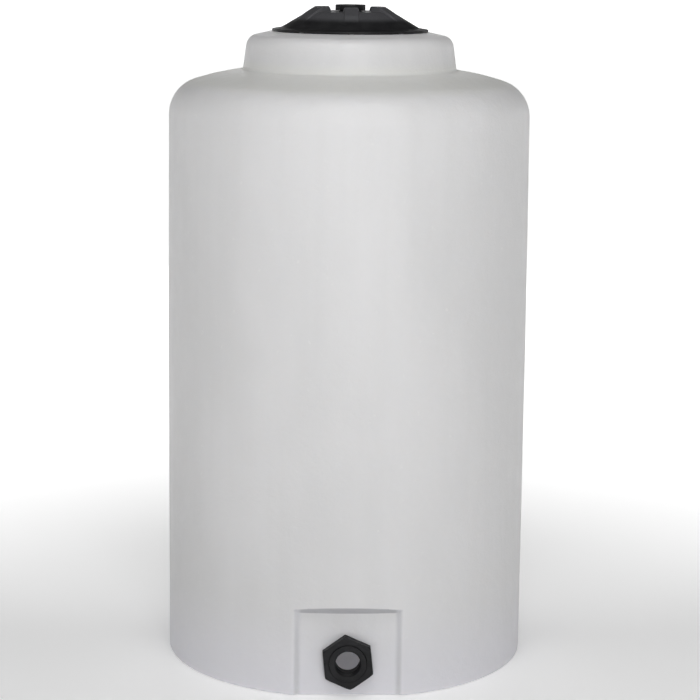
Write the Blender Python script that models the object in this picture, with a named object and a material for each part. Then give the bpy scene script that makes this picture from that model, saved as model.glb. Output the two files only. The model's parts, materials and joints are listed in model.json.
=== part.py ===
"""Upright vented storage tank of about 245 litres.

A rotationally moulded polyethylene shell stands on its flat bottom. Its neck holds a threaded
collar, screwed down on a gasket, and a screw lid with a central vent. A bulkhead fitting goes
through a flat recess at the foot. Origin: centre of the bottom. +Z is up and the outlet faces -Y.
All lengths are in metres.
"""

import math

import bmesh
import bpy
from mathutils import Matrix, Vector

GAP = 0.0003  # left between two pieces that touch
ARC_ERROR = 0.0008  # how far a rounded edge may stray from its arc
SAME_POINT = 0.000001  # two points nearer than this are one

# Tank shell
TANK_RADIUS = 0.292
WALL = 0.0055
FOOT_ROUNDING = 0.005
WALL_TURN_Z = 0.52  # above this height the wall leans in a little
WALL_TOP_RADIUS = 0.2898
WALL_TURN_ROUNDING = 20.0
SHOULDER_Z = 0.9265  # where the wall's line meets the dome's line
SHOULDER_ROUNDING = 0.058
DOME_BEND = (0.2066, 0.9506)
DOME_ROUNDING = 0.40
NECK_FOOT = (0.1715, 0.955)
NECK_FOOT_ROUNDING = 0.005
NECK_TOP = (0.1645, 1.0072)
NECK_TOP_ROUNDING = 0.030
NECK_CROWN = (0.128, 1.0153)
TANK_SEGMENTS = 48

# Seat for the collar, sunk into the top of the neck
SEAT_RADIUS = 0.1185
SEAT_Z = 1.008
FILL_RADIUS = 0.1056

# Flat recess for the outlet
PANEL_Y = -0.2745
RECESS_HALF_WIDTH = 0.078  # at the panel
RECESS_TOP_Z = 0.1315  # at the panel
RECESS_SIDE_DRAFT = 1.0  # how far a side leans out, per unit of depth
RECESS_TOP_DRAFT = 0.67
RECESS_REACH = 0.060  # how far the cutter reaches in front of the panel

# Bulkhead fitting, for 1 1/4 inch pipe
OUTLET_Z = 0.0555
FITTING_SEGMENTS = 28
SHANK_RADIUS = 0.0292
SHANK_END = 0.0165  # in front of the panel
BORE_RADIUS = 0.0193
BORE_MOUTH_RADIUS = 0.0208
BORE_CHAMFER = 0.0022
EDGE_CHAMFER = 0.0010
FLANGE_RADIUS = 0.042
FLANGE_THICKNESS = 0.008
OUTLET_GASKET_THICKNESS = 0.003
WALL_HOLE_RADIUS = 0.0300
NUT_BORE_RADIUS = 0.0297
NUT_CORNER_RADIUS = 0.0434
NUT_THICKNESS = 0.0145
NUT_CHAMFER = 0.0030  # how far the turned chamfer cuts back at the corners
NUT_TURN = math.radians(6)  # how far one corner leans to -X from straight up

# Threaded collar and its gasket
LID_SEGMENTS = 40
RING_GASKET_THICKNESS = 0.0017
COLLAR_BORE = 0.101
COLLAR_OUTER = 0.104
COLLAR_BOTTOM_Z = 0.992
COLLAR_TOP_Z = 1.0165
COLLAR_FLANGE_RADIUS = 0.1165
COLLAR_FLANGE_THICKNESS = 0.004

# Collar screws
SCREW_COUNT = 8
SCREW_CIRCLE = 0.1105
SCREW_RADIUS = 0.0020
SCREW_HEAD_RADIUS = 0.0036
SCREW_HEAD_HEIGHT = 0.0024
SCREW_CROWN = (0.0026, 0.0013)  # radius of the head's flat top and height of its straight side
SCREW_LENGTH = 0.0105
SCREW_TIP = 0.0022
SCREW_HOLE_RADIUS = 0.0024
SCREW_SEGMENTS = 10

# Screw lid. Heights are above the underside of its rim
RIM_Z = 1.0164
RIM_RADIUS = 0.125
LIP_INNER = 0.119
LIP_HEIGHT = 0.0028
BRIM = (0.1105, 0.0052)
CROWN = (0.0671, 0.0307)
LID_WALL = 0.003
SEAL_OUTER = 0.105
SEAL_Z = 0.0027
PLUG_RADIUS = 0.0968
PLUG_INNER = 0.0938
PLUG_DEPTH = 0.0204
LID_GASKET_INNER = 0.0973
LID_GASKET_OUTER = 0.1045
LID_GASKET_THICKNESS = 0.002

# Lugs on the lid
LUG_COUNT = 6
LUG_FIRST = math.radians(-90)
LUG_OUTER = (0.0910, 0.0164)
LUG_SHOULDER = (0.0800, 0.0265)
LUG_TOP_OUTER = 0.0605
LUG_TOP_INNER = 0.045
LUG_TOP_Z = 0.0379
LUG_HALF_WIDTH = 0.0105
LUG_DRAFT = 0.0015  # each side leans in this much over the lug's height
LUG_SINK = 0.0015  # how deep a lug's foot reaches into the lid wall

# Screw thread between lid and collar
THREAD_LEAD = 0.009
PLUG_TURNS = 1.5
COLLAR_TURNS = 2
THREAD_BASE = 0.004
THREAD_CREST = 0.002
THREAD_SINK = 0.0008
PLUG_CREST = 0.0996
COLLAR_CREST = 0.0984
PLUG_THREAD_START_Z = -0.0170

# Vent in the middle of the lid
VENT_SEGMENTS = 24
BOSS_RADIUS = 0.017
BOSS_TOP_Z = 0.0365
VENT_BORE = 0.012
TUBE_RADIUS = 0.015
TUBE_BOTTOM_Z = 0.018
SHELF_BORE = 0.008
SHELF_BOTTOM_Z = 0.026
SHELF_TOP_Z = 0.0285
CAP_RADIUS = 0.024
CAP_WALL = 0.0025
CAP_TOP_Z = 0.0415
CAP_SKIRT_Z = 0.0325
CAP_ROUNDING = 0.0012
RIB_COUNT = 4
RIB_THICKNESS = 0.0020
SCREEN_RADIUS = 0.0165
SCREEN_THICKNESS = 0.0008
SCREEN_HOLE = 0.0012
SCREEN_ROWS = ((6, 0.0042), (9, 0.0090))  # number of holes and radius of each ring
POPPET_RADIUS = 0.0112
POPPET_THICKNESS = 0.002
STEM_RADIUS = 0.002
STEM_BOTTOM_Z = 0.0185
GUIDE_BORE = 0.0027
GUIDE_RADIUS = 0.0048
GUIDE_BOTTOM_Z = 0.0205
RETAINER_RADIUS = 0.0116
RETAINER_INNER = 0.0092
RETAINER_ARMS = 3
RETAINER_ARM_WIDTH = 0.0024
RETAINER_ARM_INSET = 0.001  # how much lower than the ring an arm is, above and below


# Shapes


def arc(centre, radius, start, end, steps):
    """Points on a circle, from one angle to another."""
    angles = [start + (end - start) * i / steps for i in range(steps + 1)]
    return [(centre[0] + radius * math.cos(a), centre[1] + radius * math.sin(a)) for a in angles]


def rounded(corners):
    """A line through corners (r, z, rounding), with each rounded corner as an arc."""
    points = []
    for i, (r, z, rounding) in enumerate(corners):
        here = Vector((r, z))
        if rounding == 0:
            points.append((r, z))
            continue
        before = (Vector(corners[i - 1][:2]) - here).normalized()
        after = (Vector(corners[i + 1][:2]) - here).normalized()
        half = before.angle(after) / 2
        centre = here + (before + after).normalized() * (rounding / math.sin(half))
        first = here + before * (rounding / math.tan(half)) - centre
        last = here + after * (rounding / math.tan(half)) - centre
        start = math.atan2(first.y, first.x)
        turn = math.remainder(math.atan2(last.y, last.x) - start, 2 * math.pi)
        steps = max(2, round(abs(turn) / math.sqrt(8 * ARC_ERROR / rounding)))
        points += arc(centre, rounding, start, start + turn, steps)
    return points


def moved_in(corners, distance):
    """The same corners with every side moved to its left, along the line, by a distance."""
    result = []
    for i, (r, z, rounding) in enumerate(corners):
        here = Vector((r, z))
        before = here - Vector(corners[max(i - 1, 0)][:2])
        after = Vector(corners[min(i + 1, len(corners) - 1)][:2]) - here
        before = before.normalized() if before.length else after.normalized()
        after = after.normalized() if after.length else before
        left = Vector((-before.y - after.y, before.x + after.x)).normalized()
        shift = distance / left.dot(Vector((-after.y, after.x)))
        bends_left = before.x * after.y - before.y * after.x > 0
        new_rounding = rounding - distance if bends_left else rounding + distance
        new_rounding = max(new_rounding, 0) if rounding else 0
        result.append((r + left.x * shift, z + left.y * shift, new_rounding))
    return result


def turned(outline, segments, closed=False):
    """A solid turned round Z. A closed outline makes a ring, an open one has its ends at r = 0."""
    bm = bmesh.new()
    verts = [bm.verts.new((r, 0, z)) for r, z in outline]
    edges = [bm.edges.new(pair) for pair in zip(verts, verts[1:])]
    if closed:
        edges.append(bm.edges.new((verts[-1], verts[0])))
    bmesh.ops.spin(
        bm,
        geom=verts + edges,
        cent=(0, 0, 0),
        axis=(0, 0, 1),
        angle=2 * math.pi,
        steps=segments,
        use_merge=True,
    )
    bmesh.ops.remove_doubles(bm, verts=bm.verts, dist=SAME_POINT)
    bmesh.ops.recalc_face_normals(bm, faces=bm.faces)
    return bm


def rectangle(left, right, bottom, top):
    return [(left, bottom), (right, bottom), (right, top), (left, top)]


def prism(outline, bottom, top):
    """An outline in X and Y, extruded from one height to another."""
    bm = bmesh.new()
    face = bm.faces.new([bm.verts.new((x, y, bottom)) for x, y in outline])
    extruded = bmesh.ops.extrude_face_region(bm, geom=[face])
    new_verts = [item for item in extruded["geom"] if isinstance(item, bmesh.types.BMVert)]
    bmesh.ops.translate(bm, verts=new_verts, vec=(0, 0, top - bottom))
    bmesh.ops.recalc_face_normals(bm, faces=bm.faces)
    return bm


def circle(radius, segments, turn=0.0):
    angles = [turn + 2 * math.pi * i / segments for i in range(segments)]
    return [(radius * math.cos(a), radius * math.sin(a)) for a in angles]


def add(bm, other, matrix=Matrix()):
    """Puts a copy of another shape into this one, and frees the other."""
    other.transform(matrix)
    mesh = bpy.data.meshes.new("added")
    other.to_mesh(mesh)
    other.free()
    bm.from_mesh(mesh)
    bpy.data.meshes.remove(mesh)
    return bm


def around(make, count, radius=0.0, first=0.0):
    """Copies of a shape, evenly spaced round Z."""
    bm = bmesh.new()
    for i in range(count):
        turn = Matrix.Rotation(first + 2 * math.pi * i / count, 4, "Z")
        add(bm, make(), turn @ Matrix.Translation((radius, 0, 0)))
    return bm


def helical_ridge(root, crest, start_z, turns):
    """A thread ridge whose foot is sunk in the wall at the root radius. It climbs anticlockwise."""
    outward = 1 if crest > root else -1
    foot = root - outward * THREAD_SINK
    section = (
        (foot, -THREAD_BASE / 2),
        (crest, -THREAD_CREST / 2),
        (crest, THREAD_CREST / 2),
        (foot, THREAD_BASE / 2),
    )
    bm = bmesh.new()
    loops = []
    for step in range(round(turns * LID_SEGMENTS) + 1):
        angle = 2 * math.pi * step / LID_SEGMENTS
        rise = start_z + THREAD_LEAD * step / LID_SEGMENTS
        loops.append(
            [bm.verts.new((r * math.cos(angle), r * math.sin(angle), rise + z)) for r, z in section]
        )
    for one, two in zip(loops, loops[1:]):
        for i in range(len(section)):
            j = (i + 1) % len(section)
            bm.faces.new((one[i], one[j], two[j], two[i]))
    bm.faces.new(loops[0])
    bm.faces.new(reversed(loops[-1]))
    bmesh.ops.recalc_face_normals(bm, faces=bm.faces)
    return bm


# Objects


def clear_scene():
    for obj in list(bpy.data.objects):
        bpy.data.objects.remove(obj, do_unlink=True)


def material(name, colour, roughness, metallic=0.0):
    made = bpy.data.materials.new(name)
    made.use_nodes = True
    shader = made.node_tree.nodes["Principled BSDF"]
    shader.inputs["Base Color"].default_value = (*colour, 1)
    shader.inputs["Roughness"].default_value = roughness
    shader.inputs["Metallic"].default_value = metallic
    made.diffuse_color = (*colour, 1)
    return made


def piece(name, bm, made_of, parent=None):
    """An object from a shape, smooth except at edges over 35 degrees."""
    mesh = bpy.data.meshes.new(name)
    bm.to_mesh(mesh)
    bm.free()
    mesh.shade_smooth()
    mesh.set_sharp_from_angle(angle=math.radians(35))
    if made_of:
        mesh.materials.append(made_of)
    obj = bpy.data.objects.new(name, mesh)
    bpy.context.collection.objects.link(obj)
    obj.parent = parent
    return obj


def helper(name, bm, parent=None):
    """A shape that only cuts or adds to another one."""
    obj = piece(name, bm, None, parent)
    obj.hide_render = True
    obj.display_type = "WIRE"
    return obj


def combine(obj, other, operation):
    modifier = obj.modifiers.new(other.name, "BOOLEAN")
    modifier.operation = operation
    modifier.solver = "EXACT"
    modifier.object = other


def axis_empty(name, location, rotation=(0, 0, 0)):
    empty = bpy.data.objects.new(name, None)
    bpy.context.collection.objects.link(empty)
    empty.location = location
    empty.rotation_euler = rotation
    return empty


# Tank shell


def tank_corners():
    return [
        (0, 0, 0),
        (TANK_RADIUS, 0, FOOT_ROUNDING),
        (TANK_RADIUS, WALL_TURN_Z, WALL_TURN_ROUNDING),
        (WALL_TOP_RADIUS, SHOULDER_Z, SHOULDER_ROUNDING),
        (*DOME_BEND, DOME_ROUNDING),
        (*NECK_FOOT, NECK_FOOT_ROUNDING),
        (*NECK_TOP, NECK_TOP_ROUNDING),
        (*NECK_CROWN, 0),
    ]


def tank_outside():
    seat = [(SEAT_RADIUS, NECK_CROWN[1]), (SEAT_RADIUS, SEAT_Z), (0, SEAT_Z)]
    return turned(rounded(tank_corners()) + seat, TANK_SEGMENTS)


def tank_inside():
    """The tank's hollow, with the fill opening above it."""
    corners = moved_in(tank_corners(), WALL)
    seat_underside = SEAT_Z - WALL
    top = corners[-1][1]
    corners[-1] = (SEAT_RADIUS + 2 * WALL, top, 0)
    line = rounded(corners)
    line += [(SEAT_RADIUS + WALL, seat_underside), (FILL_RADIUS, seat_underside)]
    line += [(FILL_RADIUS, NECK_CROWN[1] + WALL), (0, NECK_CROWN[1] + WALL)]
    return turned(line, TANK_SEGMENTS)


def recess_block(grow):
    """The block that the recess is cut with. The hollow of the tank keeps clear of a larger one."""
    back = PANEL_Y + grow
    front = back - RECESS_REACH
    half = RECESS_HALF_WIDTH + grow
    lean = RECESS_REACH * RECESS_SIDE_DRAFT
    rise = RECESS_REACH * RECESS_TOP_DRAFT
    top = RECESS_TOP_Z + grow
    bottom = -RECESS_REACH
    small = rectangle(-half, half, bottom, top)
    large = rectangle(-half - lean, half + lean, bottom, top + rise)
    bm = bmesh.new()
    rear = [bm.verts.new((x, back, z)) for x, z in small]
    fore = [bm.verts.new((x, front, z)) for x, z in large]
    bm.faces.new(rear)
    bm.faces.new(fore)
    for i in range(4):
        j = (i + 1) % 4
        bm.faces.new((rear[i], rear[j], fore[j], fore[i]))
    bmesh.ops.recalc_face_normals(bm, faces=bm.faces)
    return bm


def screw_hole_pins(bottom, top):
    def pin():
        return prism(circle(SCREW_HOLE_RADIUS, SCREW_SEGMENTS), bottom, top)

    return around(pin, SCREW_COUNT, SCREW_CIRCLE)


def make_tank(plastic, outlet):
    shell = piece("tank_shell", tank_outside(), plastic)
    hollow = helper("tank_hollow", tank_inside())
    combine(hollow, helper("recess_inner_block", recess_block(WALL)), "DIFFERENCE")
    combine(shell, helper("recess_block", recess_block(0)), "DIFFERENCE")
    combine(shell, hollow, "DIFFERENCE")
    hole = prism(circle(WALL_HOLE_RADIUS, FITTING_SEGMENTS), -2 * WALL, WALL)
    combine(shell, helper("outlet_hole", hole, outlet), "DIFFERENCE")
    pins = screw_hole_pins(SEAT_Z - 2 * WALL, SEAT_Z + WALL)
    combine(shell, helper("seat_screw_holes", pins), "DIFFERENCE")


# Bulkhead fitting. Its Z axis points out of the tank, from the outer face of the panel


def make_bulkhead_body(plastic, outlet):
    seat = -WALL - 2 * GAP - OUTLET_GASKET_THICKNESS
    rear = seat - FLANGE_THICKNESS
    outline = [
        (BORE_MOUTH_RADIUS, rear),
        (FLANGE_RADIUS - EDGE_CHAMFER, rear),
        (FLANGE_RADIUS, rear + EDGE_CHAMFER),
        (FLANGE_RADIUS, seat - EDGE_CHAMFER),
        (FLANGE_RADIUS - EDGE_CHAMFER, seat),
        (SHANK_RADIUS, seat),
        (SHANK_RADIUS, SHANK_END - EDGE_CHAMFER),
        (SHANK_RADIUS - EDGE_CHAMFER, SHANK_END),
        (BORE_MOUTH_RADIUS, SHANK_END),
        (BORE_RADIUS, SHANK_END - BORE_CHAMFER),
        (BORE_RADIUS, rear + BORE_CHAMFER),
    ]
    piece("bulkhead_body", turned(outline, FITTING_SEGMENTS, closed=True), plastic, outlet)


def flat_ring(inner, outer, bottom, top, segments):
    outline = [(inner, bottom), (outer, bottom), (outer, top), (inner, top)]
    return turned(outline, segments, closed=True)


def make_bulkhead_gasket(rubber, outlet):
    top = -WALL - GAP
    bottom = top - OUTLET_GASKET_THICKNESS
    ring = flat_ring(WALL_HOLE_RADIUS, FLANGE_RADIUS, bottom, top, FITTING_SEGMENTS)
    piece("bulkhead_gasket", ring, rubber, outlet)


def make_bulkhead_nut(plastic, outlet):
    """A hexagon with a threaded hole, its outer corners turned off to a chamfer."""
    front = GAP + NUT_THICKNESS
    hexagon = prism(circle(NUT_CORNER_RADIUS, 6, math.pi / 2 + NUT_TURN), GAP, front)
    nut = piece("bulkhead_nut", hexagon, plastic, outlet)
    flat_radius = NUT_CORNER_RADIUS - NUT_CHAMFER
    blank = [
        (NUT_BORE_RADIUS, GAP - WALL),
        (NUT_CORNER_RADIUS + WALL, GAP - WALL),
        (NUT_CORNER_RADIUS + WALL, front - NUT_CHAMFER - WALL),
        (flat_radius - WALL, front + WALL),
        (NUT_BORE_RADIUS, front + WALL),
    ]
    chamfered = helper("nut_blank", turned(blank, FITTING_SEGMENTS, closed=True), outlet)
    combine(nut, chamfered, "INTERSECT")


# Collar, its gasket and its screws


def make_collar(plastic, lid_axis):
    bottom = SEAT_Z + 2 * GAP + RING_GASKET_THICKNESS
    top = bottom + COLLAR_FLANGE_THICKNESS
    outline = [
        (COLLAR_BORE, COLLAR_BOTTOM_Z),
        (COLLAR_OUTER, COLLAR_BOTTOM_Z),
        (COLLAR_OUTER, bottom),
        (COLLAR_FLANGE_RADIUS, bottom),
        (COLLAR_FLANGE_RADIUS, top - EDGE_CHAMFER),
        (COLLAR_FLANGE_RADIUS - EDGE_CHAMFER, top),
        (COLLAR_OUTER, top),
        (COLLAR_OUTER, COLLAR_TOP_Z),
        (COLLAR_BORE, COLLAR_TOP_Z),
    ]
    collar = piece("lid_ring", turned(outline, LID_SEGMENTS, closed=True), plastic)
    start = PLUG_THREAD_START_Z - THREAD_LEAD / 2
    ridge = helical_ridge(COLLAR_BORE, COLLAR_CREST, start, COLLAR_TURNS)
    combine(collar, helper("collar_ridge", ridge, lid_axis), "UNION")
    pins = screw_hole_pins(bottom - WALL, top + WALL)
    combine(collar, helper("collar_screw_holes", pins), "DIFFERENCE")


def make_ring_gasket(rubber):
    bottom = SEAT_Z + GAP
    top = bottom + RING_GASKET_THICKNESS
    ring = flat_ring(FILL_RADIUS, COLLAR_FLANGE_RADIUS, bottom, top, LID_SEGMENTS)
    gasket = piece("ring_gasket", ring, rubber)
    pins = screw_hole_pins(bottom - WALL, top + WALL)
    combine(gasket, helper("gasket_screw_holes", pins), "DIFFERENCE")


def screw_shape():
    """A pan-head screw, its head's underside at z = 0."""
    outline = [
        (0, -SCREW_LENGTH),
        (SCREW_RADIUS, -SCREW_LENGTH + SCREW_TIP),
        (SCREW_RADIUS, 0),
        (SCREW_HEAD_RADIUS, 0),
        (SCREW_HEAD_RADIUS, SCREW_CROWN[1]),
        (SCREW_CROWN[0], SCREW_HEAD_HEIGHT),
        (0, SCREW_HEAD_HEIGHT),
    ]
    return turned(outline, SCREW_SEGMENTS)


def make_screws(steel):
    height = SEAT_Z + 3 * GAP + RING_GASKET_THICKNESS + COLLAR_FLANGE_THICKNESS
    for i in range(SCREW_COUNT):
        angle = 2 * math.pi * i / SCREW_COUNT
        screw = piece(f"ring_screw_{i + 1}", screw_shape(), steel)
        screw.location = (SCREW_CIRCLE * math.cos(angle), SCREW_CIRCLE * math.sin(angle), height)
        screw.rotation_euler = (0, 0, angle)


# Lid and its gasket. Heights are above the underside of the lid's rim


def lid_outline():
    """Section of the lid's shell, plug and vent tube, from the vent bore outwards and back."""
    slope = (CROWN[1] - BRIM[1]) / (BRIM[0] - CROWN[0])
    drop = LID_WALL * math.hypot(1, slope)

    def underside(r):
        return BRIM[1] + slope * (BRIM[0] - r) - drop

    deck = CROWN[1] - LID_WALL
    deck_radius = BRIM[0] - (deck + drop - BRIM[1]) / slope
    return [
        (SHELF_BORE, SHELF_TOP_Z),
        (VENT_BORE, SHELF_TOP_Z),
        (VENT_BORE, BOSS_TOP_Z),
        (BOSS_RADIUS, BOSS_TOP_Z),
        (BOSS_RADIUS, CROWN[1]),
        CROWN,
        BRIM,
        (RIM_RADIUS - EDGE_CHAMFER, LIP_HEIGHT + EDGE_CHAMFER / 2),
        (RIM_RADIUS, LIP_HEIGHT - EDGE_CHAMFER / 2),
        (RIM_RADIUS, 0),
        (LIP_INNER, 0),
        (LIP_INNER, LIP_HEIGHT - LID_WALL / 2),
        (SEAL_OUTER + LID_WALL, underside(SEAL_OUTER + LID_WALL)),
        (SEAL_OUTER, underside(SEAL_OUTER)),
        (SEAL_OUTER, SEAL_Z),
        (PLUG_RADIUS, SEAL_Z),
        (PLUG_RADIUS, -PLUG_DEPTH),
        (PLUG_INNER, -PLUG_DEPTH),
        (PLUG_INNER, underside(PLUG_INNER)),
        (deck_radius, deck),
        (TUBE_RADIUS, deck),
        (TUBE_RADIUS, TUBE_BOTTOM_Z),
        (VENT_BORE, TUBE_BOTTOM_Z),
        (VENT_BORE, SHELF_BOTTOM_Z),
        (SHELF_BORE, SHELF_BOTTOM_Z),
    ]


def upright_wedge(side_view, half_low, half_high, low, high):
    """A block seen from the side as (r, z) points, which narrows with height."""
    bm = bmesh.new()
    faces = []
    for side in (-1, 1):
        row = []
        for r, z in side_view:
            share = (z - low) / (high - low)
            row.append(bm.verts.new((r, side * (half_low + (half_high - half_low) * share), z)))
        faces.append(row)
    bm.faces.new(faces[0])
    bm.faces.new(faces[1])
    for i in range(len(side_view)):
        j = (i + 1) % len(side_view)
        bm.faces.new((faces[0][i], faces[0][j], faces[1][j], faces[1][i]))
    bmesh.ops.recalc_face_normals(bm, faces=bm.faces)
    return bm


def lug():
    foot = LUG_OUTER[1] - LUG_SINK
    deck = CROWN[1] - LUG_SINK
    side_view = [
        LUG_OUTER,
        (LUG_OUTER[0], foot),
        (CROWN[0], deck),
        (LUG_TOP_INNER, deck),
        (LUG_TOP_INNER, LUG_TOP_Z),
        (LUG_TOP_OUTER, LUG_TOP_Z),
        LUG_SHOULDER,
    ]
    return upright_wedge(side_view, LUG_HALF_WIDTH, LUG_HALF_WIDTH - LUG_DRAFT, foot, LUG_TOP_Z)


def lug_hollow():
    """The space under a lug, which leaves it about as thick as the lid."""
    slope = (LUG_TOP_Z - LUG_SHOULDER[1]) / (LUG_SHOULDER[0] - LUG_TOP_OUTER)
    top = LUG_TOP_Z - LID_WALL
    bottom = LUG_OUTER[1] - LID_WALL
    outer = LUG_SHOULDER[0] - LID_WALL / 2
    inner = LUG_TOP_INNER + LID_WALL
    outer_top = LUG_SHOULDER[1] + slope * LID_WALL / 2 - LID_WALL * math.hypot(1, slope)
    side_view = [
        (outer, outer_top),
        (outer, bottom),
        (inner, bottom),
        (inner, top),
        (LUG_TOP_OUTER, top),
    ]
    half = LUG_HALF_WIDTH - LID_WALL
    return upright_wedge(side_view, half, half - LUG_DRAFT, bottom, top)


def make_lid(plastic, lid_axis):
    lid = piece("lid", turned(lid_outline(), LID_SEGMENTS, closed=True), plastic, lid_axis)
    ridge = helical_ridge(PLUG_RADIUS, PLUG_CREST, PLUG_THREAD_START_Z, PLUG_TURNS)
    combine(lid, helper("plug_ridge", ridge, lid_axis), "UNION")
    lugs = around(lug, LUG_COUNT, first=LUG_FIRST)
    combine(lid, helper("lid_lugs", lugs, lid_axis), "UNION")
    hollows = around(lug_hollow, LUG_COUNT, first=LUG_FIRST)
    combine(lid, helper("lid_lug_hollows", hollows, lid_axis), "DIFFERENCE")


def make_lid_gasket(rubber, lid_axis):
    top = SEAL_Z - GAP
    bottom = top - LID_GASKET_THICKNESS
    ring = flat_ring(LID_GASKET_INNER, LID_GASKET_OUTER, bottom, top, LID_SEGMENTS)
    piece("lid_gasket", ring, rubber, lid_axis)


# Vent


def make_vent_cap(plastic, lid_axis):
    under = CAP_TOP_Z - CAP_WALL
    inner = CAP_RADIUS - CAP_WALL
    outline = [
        (0, under),
        (inner, under),
        (inner, CAP_SKIRT_Z),
        (CAP_RADIUS, CAP_SKIRT_Z),
        (CAP_RADIUS, CAP_TOP_Z - CAP_ROUNDING),
        (CAP_RADIUS - CAP_ROUNDING, CAP_TOP_Z),
        (0, CAP_TOP_Z),
    ]
    cap = piece("vent_cap", turned(outline, LID_SEGMENTS), plastic, lid_axis)
    reach = inner + CAP_WALL / 2
    start = BOSS_RADIUS + GAP
    half = RIB_THICKNESS / 2
    footprint = rectangle(start, reach, -half, half)

    def rib():
        return prism(footprint, CAP_SKIRT_Z + CAP_ROUNDING, under + CAP_WALL / 2)

    ribs = around(rib, RIB_COUNT, first=math.pi / RIB_COUNT)
    combine(cap, helper("vent_cap_ribs", ribs, lid_axis), "UNION")


def make_vent_screen(steel, lid_axis):
    bottom = BOSS_TOP_Z + GAP
    top = bottom + SCREEN_THICKNESS
    disc = prism(circle(SCREEN_RADIUS, VENT_SEGMENTS), bottom, top)
    screen = piece("vent_screen", disc, steel, lid_axis)

    def hole():
        return prism(circle(SCREEN_HOLE, 6), bottom - WALL, top + WALL)

    holes = hole()
    for count, radius in SCREEN_ROWS:
        add(holes, around(hole, count, radius))
    combine(screen, helper("vent_screen_holes", holes, lid_axis), "DIFFERENCE")


def make_vent_poppet(plastic, lid_axis):
    bottom = SHELF_TOP_Z + GAP
    outline = [
        (0, STEM_BOTTOM_Z),
        (STEM_RADIUS, STEM_BOTTOM_Z),
        (STEM_RADIUS, bottom),
        (POPPET_RADIUS, bottom),
        (POPPET_RADIUS, bottom + POPPET_THICKNESS),
        (0, bottom + POPPET_THICKNESS),
    ]
    piece("vent_poppet", turned(outline, VENT_SEGMENTS), plastic, lid_axis)


def make_vent_retainer(plastic, lid_axis):
    """A ring and a guide tube for the poppet's stem, joined by arms."""
    top = SHELF_BOTTOM_Z - GAP
    ring = flat_ring(RETAINER_INNER, RETAINER_RADIUS, GUIDE_BOTTOM_Z, top, VENT_SEGMENTS)
    retainer = piece("vent_retainer", ring, plastic, lid_axis)
    start = (GUIDE_BORE + GUIDE_RADIUS) / 2
    reach = (RETAINER_INNER + RETAINER_RADIUS) / 2
    half = RETAINER_ARM_WIDTH / 2
    footprint = rectangle(start, reach, -half, half)

    def arm():
        return prism(footprint, GUIDE_BOTTOM_Z + RETAINER_ARM_INSET, top - RETAINER_ARM_INSET)

    arms = around(arm, RETAINER_ARMS)
    combine(retainer, helper("retainer_arms", arms, lid_axis), "UNION")
    guide = flat_ring(GUIDE_BORE, GUIDE_RADIUS, GUIDE_BOTTOM_Z, top, VENT_SEGMENTS)
    combine(retainer, helper("retainer_guide", guide, lid_axis), "UNION")


def main():
    clear_scene()
    white = material("natural_polyethylene", (0.82, 0.82, 0.80), 0.45)
    black = material("black_polypropylene", (0.018, 0.018, 0.020), 0.42)
    rubber = material("black_rubber", (0.022, 0.022, 0.022), 0.75)
    steel = material("stainless_steel", (0.62, 0.62, 0.63), 0.30, metallic=1.0)
    outlet = axis_empty("outlet_axis", (0, PANEL_Y, OUTLET_Z), (math.pi / 2, 0, 0))
    lid_axis = axis_empty("lid_axis", (0, 0, RIM_Z))
    make_tank(white, outlet)
    make_bulkhead_body(black, outlet)
    make_bulkhead_gasket(rubber, outlet)
    make_bulkhead_nut(black, outlet)
    make_collar(black, lid_axis)
    make_ring_gasket(rubber)
    make_screws(steel)
    make_lid(black, lid_axis)
    make_lid_gasket(rubber, lid_axis)
    make_vent_cap(black, lid_axis)
    make_vent_screen(steel, lid_axis)
    make_vent_poppet(black, lid_axis)
    make_vent_retainer(black, lid_axis)


main()
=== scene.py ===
"""Looks of an upright vented storage tank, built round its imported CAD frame.

Each CAD node is replaced by a finer mesh in the same place, with a procedural material.
Lengths are in metres, +Z is up and the outlet faces -Y.
"""

import json
import math

import bmesh
import bpy
from mathutils import Matrix, Vector, noise


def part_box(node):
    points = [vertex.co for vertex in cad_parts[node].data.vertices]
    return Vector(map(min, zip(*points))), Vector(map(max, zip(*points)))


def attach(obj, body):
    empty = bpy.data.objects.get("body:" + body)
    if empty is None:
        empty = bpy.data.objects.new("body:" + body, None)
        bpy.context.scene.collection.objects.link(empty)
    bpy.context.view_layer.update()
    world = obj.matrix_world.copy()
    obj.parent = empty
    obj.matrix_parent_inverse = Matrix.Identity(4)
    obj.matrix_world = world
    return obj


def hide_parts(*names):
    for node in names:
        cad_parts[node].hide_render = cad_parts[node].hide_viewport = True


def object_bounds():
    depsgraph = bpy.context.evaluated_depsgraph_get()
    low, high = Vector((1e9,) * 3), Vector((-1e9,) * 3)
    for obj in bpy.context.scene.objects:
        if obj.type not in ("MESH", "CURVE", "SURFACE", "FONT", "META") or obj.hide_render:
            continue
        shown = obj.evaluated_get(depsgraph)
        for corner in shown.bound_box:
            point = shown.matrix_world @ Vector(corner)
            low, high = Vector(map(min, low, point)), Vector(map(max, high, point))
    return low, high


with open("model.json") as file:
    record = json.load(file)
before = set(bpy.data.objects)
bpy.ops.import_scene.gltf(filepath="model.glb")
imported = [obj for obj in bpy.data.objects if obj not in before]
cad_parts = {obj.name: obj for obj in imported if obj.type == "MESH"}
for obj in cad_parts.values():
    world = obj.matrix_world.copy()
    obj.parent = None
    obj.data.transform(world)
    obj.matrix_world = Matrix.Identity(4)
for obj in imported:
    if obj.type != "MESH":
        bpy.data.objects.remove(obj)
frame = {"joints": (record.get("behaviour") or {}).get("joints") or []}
cad_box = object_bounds()


def centre(node):
    low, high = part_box(node)
    return (low + high) / 2


def bottom(node):
    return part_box(node)[0].z


def top(node):
    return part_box(node)[1].z


def radius(node):
    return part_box(node)[1].x


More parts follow.
